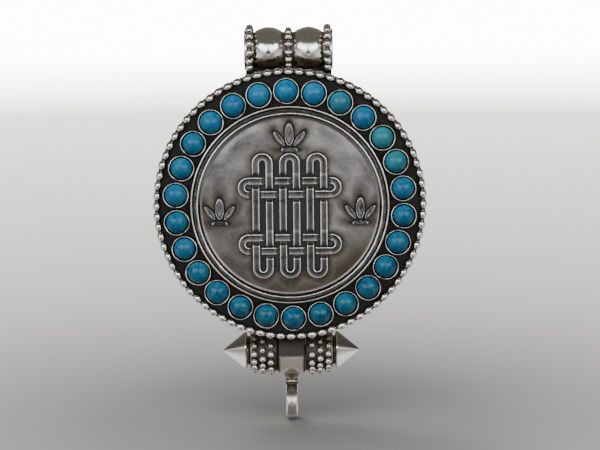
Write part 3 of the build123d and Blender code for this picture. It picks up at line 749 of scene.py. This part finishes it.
def make_medallion_base():
    """The dished field, its sloped border and ridge, with the tarnish that pools round the relief, painted
    shadow at the relief's foot and between its strands, and painted shade towards the bottom and right.
    """
    plate_r, ridge_r, underside = 13.6, 12.95, 0.3
    border = smooth_profile([(12.35, 1.09), (12.6, 1.18), (12.78, 1.46), (12.88, 1.62), (12.97, 1.65),
                             (13.06, 1.6), (13.3, 1.36), (13.52, 1.06), (plate_r, 0.86)], 4)
    field = [(r, 1.22 - 0.13 * (r / FIELD_R) ** 2) for r in np.linspace(0.0, 12.2, 94)]
    verts, faces = lathe(field + border + [(plate_r, underside), (0.0, underside)], 420)
    x, z = verts[:, 0], verts[:, 1]
    radius, distance = np.hypot(x, z), relief_distance(x, z)
    patchy = value_noise(x, z, 3.2, 3) + 0.35 * value_noise(x, z, 1.1, 5)
    reach = np.clip(1.45 + 0.6 * patchy, 0.5, None)
    pool = np.clip((reach - distance) / reach, 0, 1) ** 0.8
    grime = 0.66 + 0.07 * value_noise(x, z, 0.5, 7)
    stain = 0.1 + (grime - 0.1) * pool * pool * (3 - 2 * pool)
    between = (np.abs(x) < COLUMNS[-1] + 1.4) & (np.abs(z - KNOT_Z) < UPRIGHT_RUN / 2 + 0.5)
    # painted shade: the field darker towards the bottom and right, and near the lower rim
    painted_shade_low_right = np.clip((2.0 - z) / 12, 0, 1) * 0.34 + np.clip((x - 2.0) / 8, 0, 1) * 0.14
    painted_shade_low_rim = np.clip((radius - 8.5) / 3, 0, 1) * np.clip((2.0 - z) / 9, 0, 1) * 0.2
    stain = stain + (painted_shade_low_right + painted_shade_low_rim) * (1 - pool)
    # painted shadow: black at the foot of the relief and in the gaps between its strands
    stain = np.where((distance < 0.14) | (between & (distance < 1.2)), 1.0, stain)
    verts[:, 2] -= 0.012 * np.clip((reach + 0.4 - distance) / 1.2, 0, 1) * (radius < 12.1)
    swell = 0.030 * value_noise(x, z, 4.2, 9) + 0.008 * value_noise(x, z, 2.0, 13)
    verts[:, 2] += swell * np.clip((12.3 - radius) / 0.8, 0, 1)
    edge = peak(radius, 12.45, 0.35) * 0.55
    slope = np.clip((radius - 13.1) / 0.3, 0, 1) * (0.45 + 0.15 * value_noise(x, z, 2.0, 21))
    foot = np.clip((radius - 13.5) / 0.08, 0, 1)
    clean = (radius > ridge_r - 0.11) & (radius < ridge_r + 0.14)
    stain = np.where(clean, 0.02, np.max([stain * (radius < FIELD_R), edge, slope, foot], axis=0))
    worn = peak(radius, ridge_r, 0.1)
    piece = make_piece("medallion", front(verts), faces, FIELD_SILVER, stain=stain, worn=worn)
    place(piece, "case", "medallion_plate")


def make_bezel():
    """The upright wall round the medallion, its edge rubbed bright and slightly uneven, darker towards the
    bottom with painted shade.
    """
    profile = [(13.62, 0.0), (13.62, 0.86), (13.68, 1.02), (13.78, 1.1), (13.88, 1.1), (13.97, 1.02),
               (14.0, 0.86), (14.0, 0.0)]
    verts, faces = lathe(profile, 240, closed=True)
    turn = np.arctan2(verts[:, 1], verts[:, 0])
    verts[:, 2] += np.where(verts[:, 2] > 0.5, 0.02 * np.sin(5 * turn + 1) + 0.015 * np.sin(11 * turn), 0)
    # painted shade: the rim darker towards the bottom
    rim = np.clip(0.12 - 0.32 * verts[:, 1] / FIELD_R + 0.06 * np.sin(7 * turn), 0, 0.45)
    stain = np.where(verts[:, 2] > 0.95, rim, 0.75)
    piece = make_piece("bezel_wall", front(verts), faces, CUP_SILVER, stain=stain)
    place(piece, "case", "medallion_bezel")


make_medallion_base()
make_knot()
make_buds()
make_bezel()


# ---- bail ----


def make_bail():
    """Two flutes, pinched between the wires, rolled from sheet, with painted shade on their lower front."""
    half = (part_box("bail_band")[1].x - BAIL.x) / MM
    flute_in, flute_out, valley, crest, bore = 0.8, 4.8, 2.45, 3.15, 2.05
    outer = [(2.62, -half), (2.85, -half + 0.04), (2.85, -half + 0.14), (valley, -flute_out - 0.05)]
    for side in (-1, 1):
        start = -flute_out if side < 0 else flute_in
        for t in np.linspace(0, 1, 22):
            bulge = sin(pi * t) ** 0.8
            outer.append((valley + (crest - valley) * bulge, start + (flute_out - flute_in) * t))
    outer += [(valley, flute_out + 0.05), (2.85, half - 0.14), (2.85, half - 0.04), (2.62, half)]
    inner = [(bore + 0.08, half), (bore, half - 0.12), (bore, -half + 0.12), (bore + 0.08, -half)]
    verts, faces = lathe(outer + inner, 96, closed=True)
    turn = np.arctan2(verts[:, 1], verts[:, 0])
    radius = np.hypot(verts[:, 0], verts[:, 1])
    dent = 0.015 * np.sin(3 * turn + 0.8 * verts[:, 2]) * (radius > 2.45)
    verts[:, :2] *= (1 + dent / radius)[:, None]
    stain = np.clip((2.68 - radius) * 4.0, 0, 0.97) * (radius > bore + 0.2) + 0.5 * (radius <= bore + 0.2)
    # painted shade: the lower front of the flutes darkened
    stain = np.maximum(stain, np.clip((-0.7 - verts[:, 1]) / 1.2, 0, 0.72) * (verts[:, 0] < 1.5))
    piece = make_piece("bail_tube", about_x(verts, BAIL), faces, POLISHED, stain=stain)
    place(piece, "case", "bail_band")


def make_bail_feet():
    """Two pads soldered to the wall of the case, under the flutes and the side wires."""
    parts = Parts()
    depth, near, far, seat, wire_seat, wire_x, wall_r = 1.2, 1.45, 6.05, 2.5, 3.1, 4.75, 18.0
    columns, rows = 32, 11
    for side in (-1, 1):
        upper, lower = [], []
        for x in np.linspace(near, far, columns):
            roof = seat + (wire_seat - seat) * min(max((x - wire_x) / 0.2, 0.0), 1.0)
            ground = (CASE_Z - BAIL.z) / MM + sqrt(wall_r**2 - x * x) - 0.1
            flare = 1 + 0.04 * sin(2.3 * x + side)
            for y in np.linspace(-depth, depth, rows):
                upper.append((side * x, y * flare, -sqrt(roof**2 - y * y)))
                lower.append((side * x, y * (flare + 0.22), ground))
        verts, faces = two_skins(upper, lower, columns, rows)
        parts.add(verts * MM + np.array(BAIL), faces, stain=0.45)
    # the pads take the darker copy of silver: painted shade under the bail
    place(parts.piece("bail_solder_pads", SHADED_SILVER), "case", "bail_feet")


make_bail()
make_bail_feet()


# ---- clasp ----


def barrel_radius(x):
    """A barrel's radius at that distance from the middle of the clasp."""
    return BARREL_IN_R + (BARREL_OUT_R - BARREL_IN_R) * (x - BARREL_IN) / (BARREL_OUT - BARREL_IN)


def make_barrel(side, node):
    """A barrel blackened between its granules, with a rim at each end and painted shadow on the end that
    faces the drop.
    """
    start, end = BARREL_IN - 0.08, BARREL_OUT
    outer = [(BARREL_IN_R - 0.16, start), (BARREL_IN_R - 0.04, start + 0.05), (BARREL_IN_R, start + 0.15)]
    outer += [(barrel_radius(x) - 0.05, x) for x in np.linspace(start + 0.24, end - 0.3, 12)]
    outer += [(BARREL_OUT_R + 0.03, end - 0.2), (BARREL_OUT_R + 0.01, end - 0.08), (BARREL_OUT_R - 0.12, end)]
    verts, faces = lathe([(PIN_R, start)] + outer + [(PIN_R, end)], 96, closed=True)
    stain = np.where(np.abs(verts[:, 2] - end + 0.12) < 0.1, 0.68, 0.93)
    # painted shadow: the end that faces the drop, in the gap, is black
    stain = np.where(verts[:, 2] < start + 0.2, 1.0, stain)
    verts[:, 2] *= side
    piece = make_piece(node + "_tube", about_x(verts, BAR), faces, SILVER, stain=stain)
    place(piece, "case", node)


make_barrel(-1, "left_barrel")
make_barrel(1, "right_barrel")


def make_drop():
    """The smooth crowned barrel, the neck that flows out of it, its collar and the ring, darkened on the
    barrel's top and ends, along the neck, under the collar and across the ring with painted shade.
    """
    half, crown, corner = 1.99, 3.35, 0.38
    outer = []
    for t in np.linspace(-1, 1, 41):
        edge = max(0.0, abs(half * t) - (half - corner))
        outer.append((crown - 0.05 * t * t - corner + sqrt(max(0.0, corner**2 - edge**2)), half * t))
    parts = Parts()
    verts, faces = lathe([(PIN_R, -half)] + outer + [(PIN_R, half)], 128, closed=True)
    # painted shadow: the barrel's ends, beside the granule barrels
    stain = np.clip((np.abs(verts[:, 2]) - 1.5) / 0.3, 0, 1.0)
    # painted shade: the barrel's top and upper front
    slope = np.degrees(np.arctan2(verts[:, 1], -verts[:, 0]))
    stain = np.maximum(stain, np.clip((slope + 11) / 9, 0, 0.98) * (slope < 120))
    parts.add(about_x(verts, BAR), faces, stain=stain)
    neck = smooth_profile([(1.9, -2.55), (1.72, -2.85), (1.5, -3.12), (1.18, -3.45), (0.95, -3.8),
                           (0.85, -4.15), (0.84, -4.5), (0.86, -5.0)], 5)
    verts, faces = lathe([(0.0, -2.5)] + neck + [(0.0, -5.05)], 64)
    # painted shade: the neck darker going lower, and nearly black under the collar
    stain = np.where(verts[:, 2] < -4.3, 0.93, 0.3 + 0.45 * np.clip((-2.9 - verts[:, 2]) / 0.5, 0, 1))
    parts.add(verts * MM + BAR, faces, stain=stain)
    place(parts.piece("drop_body", SILVER), "drop", "drop_barrel")

    collar_r, collar_z, wire_r = 0.86, -4.4, 0.2
    turns = np.linspace(0, tau, 16, endpoint=False)
    section = [(collar_r + wire_r * cos(a), collar_z + wire_r * sin(a)) for a in turns]
    verts, faces = lathe(section, 64, closed=True)
    # painted shade under the collar
    stain = np.where(verts[:, 2] < -4.48, 0.9, 0.45)
    piece = make_piece("drop_neck_collar", verts * MM + BAR, faces, BEAD_SILVER, stain=stain)
    place(piece, "drop", "drop_collar")

    edge = [(1.45, 0.6), (1.5, 0.78), (1.62, 0.85), (2.2, 0.85), (2.3, 0.83), (2.37, 0.74), (2.42, 0.6),
            (2.46, 0.42), (2.49, 0.2)]
    section = [(1.44, 0.0)] + [(r, -x) for r, x in edge] + [(2.5, 0.0)] + edge[::-1]
    verts, faces = lathe(section, 128, closed=True)
    low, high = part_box("drop_ring")
    # painted shade across the middle of the ring's band, heavier at the top
    stain = (0.42 + np.clip((verts[:, 1] - 1.3) * 0.9, 0, 0.4)) * (np.abs(verts[:, 2]) < 0.66)
    piece = make_piece("drop_ring_band", about_x(verts, (low + high) / 2), faces, SILVER, stain=stain)
    place(piece, "drop", "drop_ring")


make_drop()


def make_granules(side, node):
    """Rows of balls round a barrel, bare on top where it meets the case."""
    granule_r, jitter = 0.53, 0.04
    parts = Parts()
    unit, faces = ball(14)
    for row, x in enumerate(GRANULE_ROWS):
        for n in range(GRANULES_ROUND):
            turn = (n + 0.5 * (row % 2)) * 360 / GRANULES_ROUND
            if min(turn, 360 - turn) < BARE_SECTOR:
                continue
            a = radians(turn + RANDOM.uniform(-1.5, 1.5))
            r = granule_r * RANDOM.uniform(0.92, 1.0)
            size = np.array([r, r, r * RANDOM.uniform(0.92, 1.0)])
            ring_r = barrel_radius(x) + 0.2
            at = np.array([side * (x + RANDOM.uniform(-jitter, jitter)), ring_r * sin(a), ring_r * cos(a)])
            shade = max(0.86 * min(1.0, 1.6 * cos(a)), 0.34 * min(1.0, -1.5 * cos(a)), 0.0)
            parts.add((unit * size + at) * MM + BAR, faces, stain=shade)
    place(parts.piece(node + "_balls", BEAD_SILVER), "case", node)


make_granules(-1, "left_barrel_granules")
make_granules(1, "right_barrel_granules")


def make_finial(side, node, body):
    """A pyramid tip with rounded edges, cut to a round base with a neck, and a socket for the pin; its upper
    faces carry painted shade.
    """
    low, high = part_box(node)
    length = (high.x - low.x) / MM
    base = (low.x if side > 0 else high.x) / MM
    corner = radians(FINIAL_CORNERS[node])
    neck, around, bore, pin_reach, softness, bulge = 0.35, 96, 0.84, 8.15, 12, 1.12
    turns = np.linspace(0, tau, around, endpoint=False) - corner
    outline = (np.abs(np.cos(turns)) ** bulge + np.abs(np.sin(turns)) ** bulge) ** (1 / bulge)
    socket = pin_reach - abs(base)
    rows = [(0.0, socket), (bore, socket), (bore, 0.0), (2.02, 0.0), (2.1, 0.06), (2.1, 0.28), (2.16, neck)]
    for t in np.linspace(0, 1, 34) ** 0.9:
        out = neck + 0.02 + (length - neck - 0.02) * t
        flat = (0.06 + FINIAL_SLOPE * (length - out)) / outline
        radius = -np.log(np.exp(-flat * softness) + np.exp(-FINIAL_R * softness)) / softness
        rows.append((radius * (1 - 0.12 * exp(-(out - neck) / 0.05)), out))
    rows.append((0.0, length))
    verts = rows_about_bar([(radius, base + side * out) for radius, out in rows], around)
    verts, faces = close_ends(verts, len(rows), around)
    out = np.abs(verts[:, 0] - base)
    turn = np.arctan2(verts[:, 1], verts[:, 2])
    off_corner = np.abs((turn - corner + pi / 4) % (pi / 2) - pi / 4)
    # painted shade: the upper faces darker, away from their rubbed edges
    upper = np.clip(2.2 * np.cos(turn + radians(20.0)), 0, 1)
    stain = np.where(out < neck + 0.1, 0.55, 0.58 * upper * np.clip(off_corner / 0.12 - 0.3, 0, 1))
    worn = np.where((out > neck + 0.1) & (off_corner < 0.05), 0.8, 0.0)
    piece = make_piece(node + "_tip", verts * MM + BAR, faces, POLISHED, stain=stain, worn=worn)
    place(piece, body, node)


make_finial(-1, "left_finial", "screw_head")
make_finial(1, "right_finial", "case")


def make_screw():
    """The pin, with a real helical thread on the end that the right finial takes."""
    low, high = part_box("clasp_pin")
    start, end = low.x / MM, high.x / MM
    pitch, threads, crest, depth, around = 0.4, 6, 0.8, 0.14, 32
    first = end - pitch * threads
    rows = [(0.0, start), (0.72, start), (crest, start + 0.1), (crest, first - 0.1)]
    for x in np.arange(first, end - 0.12, 0.05):
        phase = ((x - first) / pitch - np.arange(around) / around) % 1
        fade = min(1.0, (x - first) / pitch)
        rows.append((crest - depth * fade * (1 - np.abs(2 * phase - 1)), x))
    rows += [(0.55, end), (0.0, end)]
    verts, faces = close_ends(rows_about_bar(rows, around), len(rows), around)
    piece = make_piece("screw_rod", verts * MM + BAR, faces, SILVER, stain=np.full(len(verts), 0.1))
    place(piece, "clasp_screw", "clasp_pin")


make_screw()


# ---- back cover ----


def make_cover():
    """A spun sheet, domed inside a flat margin, with the small dents and scratches of wear."""
    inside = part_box("back_cover")[0].y
    dome_r, cover_r, sheet, rise, dents = 16.4, 18.2, 0.6, 1.5, 16
    dome = [(r, rise * (1 - (r / dome_r) ** 2)) for r in np.linspace(0.0, dome_r, 70)]
    flange = [(16.75, 0.015), (17.4, 0.02), (17.9, 0.01), (18.02, -0.02), (18.13, -0.09), (18.19, -0.2)]
    outer = [(r, sheet + z) for r, z in dome + flange] + [(cover_r, 0.3), (cover_r - 0.04, 0.0)]
    inner = [(16.9, 0.0)] + dome[::-1]
    verts, faces = lathe(outer + inner, 260)
    x, z, out = verts.T
    radius = np.hypot(x, z)
    swell = 0.05 * value_noise(x, z, 6.5, 31) + 0.014 * value_noise(x, z, 2.2, 33)
    for _ in range(dents):
        turn, reach, size = RANDOM.uniform(0, tau), 15 * sqrt(RANDOM.random()), RANDOM.uniform(0.35, 1.1)
        away = np.hypot(x - reach * cos(turn), z - reach * sin(turn)) / size
        swell = swell - 0.05 * size * np.exp(-away * away)
    verts[:, 2] += swell * np.clip((15.9 - radius) / 1.2, 0, 1)
    seam = peak(radius, dome_r, 0.35)
    verts[:, 2] -= 0.05 * seam
    patches = np.clip(0.22 + 0.3 * value_noise(x, z, 5.0, 35) + 0.14 * value_noise(x, z, 1.6, 37), 0.03, 0.5)
    stain = np.maximum(patches, 0.75 * seam)
    stain = np.where(out < 0.2, 0.3, stain)
    worn = np.clip(1 - np.abs(radius - 18.1) / 0.1, 0, 0.6) * (out > 0.3)
    places = np.stack([x * MM, inside + verts[:, 2] * MM, CASE_Z + z * MM], axis=-1)
    piece = make_piece("cover_sheet", places, faces, COVER_SILVER, stain=stain, worn=worn)
    place(piece, "cover", "back_cover")


make_cover()


# ---- prayer scroll ----


def make_scroll():
    """Handmade paper rolled loosely, its edge lifting, with uneven ends."""
    low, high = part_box("prayer_scroll")
    reach = (high.x - low.x) / 2 / MM - 0.4
    layers, core, outside, thick = 6.5, 0.55, 2.3, 0.07
    rows, columns = 261, 25
    skins = []
    for skin in (thick / 2, -thick / 2):
        verts = []
        for t in np.linspace(0, 1, rows):
            a = tau * layers * t
            r = core + (outside - core) * t + 0.02 * sin(3 * a) + skin
            trim = 0.28 * sin(9 * t) + 0.18 * sin(23 * t + 1)
            for j, share in enumerate(np.linspace(-1, 1, columns)):
                x = share * reach + trim * (1 if j in (0, columns - 1) else 0.3)
                verts.append((x, r * cos(a), r * sin(a)))
        skins.append(verts)
    verts, faces = two_skins(*skins, rows, columns)
    piece = make_piece("paper_roll", verts * MM + np.array(SCROLL), faces, PAPER)
    place(piece, "case", "prayer_scroll")


def make_tie():
    """Two turns of twisted thread round the roll."""
    parts = Parts()
    strands_in_thread, steps, sides, strand_r, roll_r = 2, 240, 8, 0.12, 2.53
    for strand in range(strands_in_thread):
        verts = []
        for t in np.linspace(0, 1, steps + 1):
            a = 2 * tau * t + 1
            twist = 20 * tau * t + pi * strand
            x = -0.42 + 0.84 * t + 0.1 * cos(twist)
            for b in np.linspace(0, tau, sides, endpoint=False):
                r = roll_r + 0.1 * sin(twist) + strand_r * cos(b)
                verts.append((x + strand_r * sin(b), r * cos(a), r * sin(a)))
        ends = [tuple(range(sides))[::-1], tuple(steps * sides + j for j in range(sides))]
        parts.add(np.array(verts) * MM + np.array(SCROLL), grid_faces(steps + 1, sides) + ends)
    place(parts.piece("thread_tie", THREAD), "case", "scroll_tie")


make_scroll()
make_tie()


# ---- CAD nodes that show as they are ----


for material, *nodes in (
    (SHELL_SILVER, "front_shell"),
    (SILVER, "cover_skirt", "cover_thumb_lip", "cover_hinge_knuckle", "case_hinge_knuckles", "hinge_pin"),
    # the barrel feet take the darker copy of silver: painted shade under the case's edge
    (SHADED_SILVER, "left_barrel_foot", "right_barrel_foot"),
):
    for node in nodes:
        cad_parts[node].data.materials.clear()
        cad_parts[node].data.materials.append(material)

# The thumb lip has a fine edge break.
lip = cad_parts["cover_thumb_lip"]
lip.modifiers.new("weld", "WELD").merge_threshold = 0.001 * MM
edges = lip.modifiers.new("edges", "BEVEL")
edges.width = 0.1 * MM
edges.segments = 2
edges.limit_method = "ANGLE"
edges.angle_limit = radians(30.0)


# ---- floor, light and camera ----


FLOOR_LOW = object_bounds()[0].z - 0.3 * MM


def make_floor():
    """A pale table that fades to white far behind. Only the camera sees its glow."""
    n = Nodes("pale_floor")
    flat = n.node("VectorMath", {0: n.place, 1: (1, 1, 0)}, operation="MULTIPLY").outputs[0]
    reach = n.node("VectorMath", {0: flat}, operation="LENGTH").outputs["Value"]
    glow = n.node("ValToRGB", {0: n.ramp(reach, -0.1, 0.9)})
    stops = ((0.0, 0.0), (0.10, 0.012), (0.127, 0.075), (0.2, 0.36), (0.28, 0.53), (0.57, 0.95), (0.66, 1.0))
    elements = glow.color_ramp.elements
    elements.remove(elements[-1])
    for i, (position, level) in enumerate(stops):
        made = elements.new(position) if i else elements[0]
        made.position = position
        made.color = (level, level * 0.995, level * 0.98, 1)
    camera = n.node("LightPath").outputs["Is Camera Ray"]
    grain = n.ramp(n.noise(0.9 * MM, 3.0), 0.3, 0.7, 0.0, 0.06)
    n.set(
        Emission_Color=glow.outputs[0],
        Emission_Strength=n.times(camera, n.ramp(reach, 0.56, 1.1, 2.0, 13.0)),
        Base_Color=n.mix(grain, (0.188, 0.182, 0.170), (0.163, 0.158, 0.148)),
        Roughness=0.8,
        Specular_IOR_Level=0.2,
    )
    verts, faces = lathe([(0.0, 0.0), (0.2, 0.0), (0.5, 0.0), (1.2, 0.0), (4.0, 0.0)], 64)
    verts[:, 2] += FLOOR_LOW
    floor = make_piece("floor", verts, faces, n.material)
    floor.visible_glossy = False


class Room(Nodes):
    """The surroundings: white to the camera, even to matt surfaces, a room with windows to bright ones."""

    def __init__(self):
        world = bpy.data.worlds.new("studio")
        bpy.context.scene.world = world
        world.use_nodes = True
        self.tree = world.node_tree
        self.tree.nodes.clear()
        self.shader = self.node("Background")
        self.node("OutputWorld", {0: self.shader.outputs[0]})
        self.place = self.node("TexCoord").outputs["Generated"]

    def window(self, value, low, high, soft):
        """1 between low and high degrees, falling to 0 over soft degrees."""
        rise = self.ramp(value, low - soft, low + soft)
        return self.times(rise, self.ramp(value, high - soft, high + soft, 1.0, 0.0))


def make_world():
    """The room that bright surfaces mirror. Angles are in degrees."""
    n = Room()
    x, y, z = n.split(n.place)
    azimuth = n.math("DEGREES", n.math("ARCTAN2", x, n.times(y, -1.0)))
    height = n.math("DEGREES", n.math("ARCSINE", z))
    ragged = n.plus(height, n.ramp(n.noise(0.12, 2.0), 0.3, 0.7, -6.8755, 6.8755))
    # The room's walls and the table, whose edge is soft to either side.
    aside = n.ramp(n.math("ABSOLUTE", x), 0.4, 0.7)
    below, hazy = n.ramp(z, -0.08, 0.02, 1.0, 0.0), n.ramp(z, -0.45, 0.2, 1.0, 0.0)
    below = n.plus(below, n.times(n.minus(hazy, below), aside))
    table = n.mix(aside, (0.34, 0.315, 0.28), (1.25, 1.25, 1.22))
    table = n.mix(n.ramp(y, 0.1, 0.6), table, (0.42, 0.415, 0.40))
    behind = n.times(n.ramp(y, 0.4, 0.8), n.ramp(z, 0.18, 0.42, 1.0, 0.1))
    room = n.mix(below, n.mix(behind, (0.15, 0.149, 0.12), (0.75, 0.75, 0.75)), table)
    # Two panes behind the pendant.
    far_side = n.math("ABSOLUTE", n.math("DEGREES", n.math("ARCTAN2", x, y)))
    back_panes = n.times(n.window(far_side, 24, 64, 5), n.window(ragged, -4, 13, 3))
    room = n.mix(back_panes, room, (1.7, 1.73, 1.76))
    # A window in front of it that widens upward, and a dark figure who stands in the window's middle.
    offside = n.math("ABSOLUTE", n.plus(azimuth, 2.0))
    opening = n.ramp(height, -26, 12, 8, 50)
    pane = n.ramp(n.minus(offside, opening), -4, 4, 1.0, 0.0)
    pane = n.times(pane, n.window(ragged, -24, 25, 3))
    width = n.ramp(height, -13, 3, 16, 4)
    person = n.ramp(n.minus(offside, width), -2.5, 2.5, 1.0, 0.0)
    person = n.times(person, n.window(height, -23, 32, 2), pane)
    daylight = n.mix(n.ramp(height, -4, 6), (2.2, 2.24, 2.28), (5.5, 5.6, 5.7))
    shade = n.mix(n.ramp(height, -16, 3), (0.02, 0.019, 0.018), (0.24, 0.235, 0.23))
    lit = n.mix(person, n.mix(pane, room, daylight), shade)
    path = n.node("LightPath")
    glossy = n.mix(path.outputs["Is Glossy Ray"], (0.23, 0.23, 0.235), lit)
    n.set(Color=n.mix(path.outputs["Is Camera Ray"], glossy, (12.0, 12.0, 12.0)))


def make_light(name, azimuth, elevation, distance, size, power):
    """A soft box aimed at the medallion. Azimuth 0 is straight in front, positive to the right."""
    a, e = radians(azimuth), radians(elevation)
    toward = Vector((sin(a) * cos(e), -cos(a) * cos(e), sin(e)))
    light = bpy.data.lights.new(name, "AREA")
    light.shape = "RECTANGLE"
    light.size, light.size_y = size
    light.energy = power
    made = new_object(name, light)
    made.location = Vector((0, PLATE_Y, CASE_Z)) + toward * distance
    made.rotation_euler = (-toward).to_track_quat("-Z", "Y").to_euler()
    made.visible_glossy = False


def make_camera():
    """Eight degrees above the medallion's normal, aimed a little right of and below its middle."""
    rise, roll, distance, width = radians(8.0), radians(-0.55), 0.26, 84 * MM
    data = bpy.data.cameras.new("camera")
    data.sensor_width = 36.0
    data.lens = data.sensor_width * distance / width
    data.clip_start, data.clip_end = 0.01, 10.0
    camera = new_object("camera", data)
    back = Vector((0, -cos(rise), sin(rise)))
    up = Vector((0, sin(rise), cos(rise)))
    aim = Vector((1.39 * MM, PLATE_Y - 1.2 * MM, CASE_Z)) - up * 2.72 * MM
    camera.location = aim + back * distance
    turned = (-back).to_track_quat("-Z", "Y").to_matrix() @ Matrix.Rotation(roll, 3, "Z")
    camera.rotation_euler = turned.to_euler()
    bpy.context.scene.camera = camera


make_floor()
make_world()
make_light("front_soft", -15, 52, 0.23, (0.17, 0.13), 0.40)
make_light("back_left", -155, 44, 0.8, (0.3, 0.3), 4.2)
make_camera()
